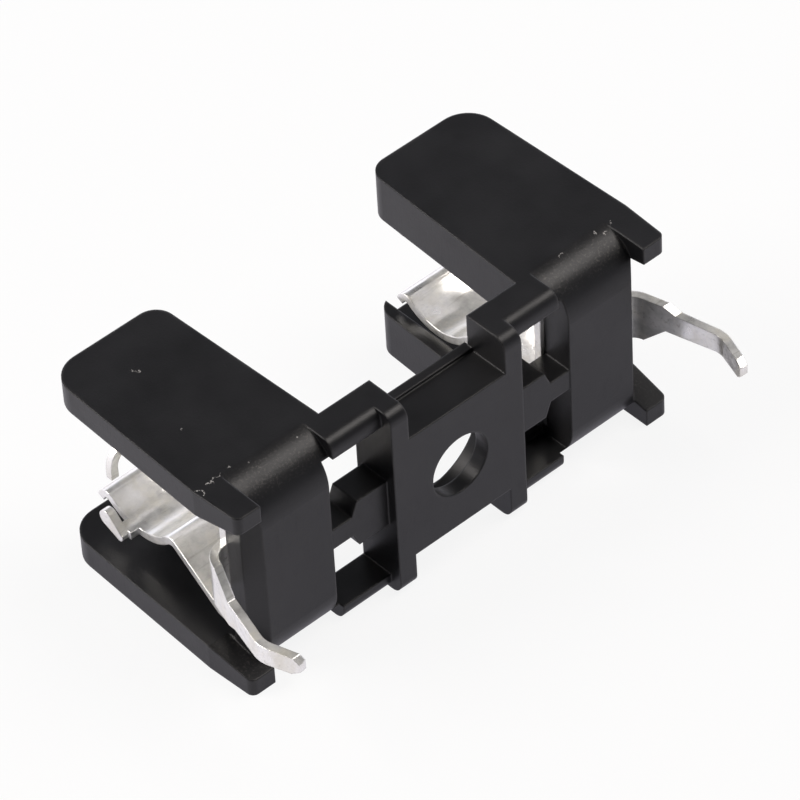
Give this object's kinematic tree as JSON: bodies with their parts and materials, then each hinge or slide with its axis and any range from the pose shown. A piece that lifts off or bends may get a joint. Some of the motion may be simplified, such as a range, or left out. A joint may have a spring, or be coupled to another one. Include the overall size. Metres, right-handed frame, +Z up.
{
  "type": "fuse holder",
  "caption": "Open fuse holder for a small cartridge fuse on a circuit board: black moulded base with end towers and a screw bridge, plated spring clips with kinked solder pins.",
  "frame": {"origin": "middle of the screw hole on the plane where the bridge meets the board", "axes": "+X along the fuse, +Z up from the board towards the open mouths of the clips, +Y across"},
  "size_m": [0.0272, 0.0106, 0.0167],
  "materials": {
    "base_plastic": "satin black moulding",
    "plated_sheet": "bright tin plate"
  },
  "bodies": {
    "root": {"base": "base_plastic", "clip_left": "plated_sheet", "clip_right": "plated_sheet"}
  },
  "joints": []
}
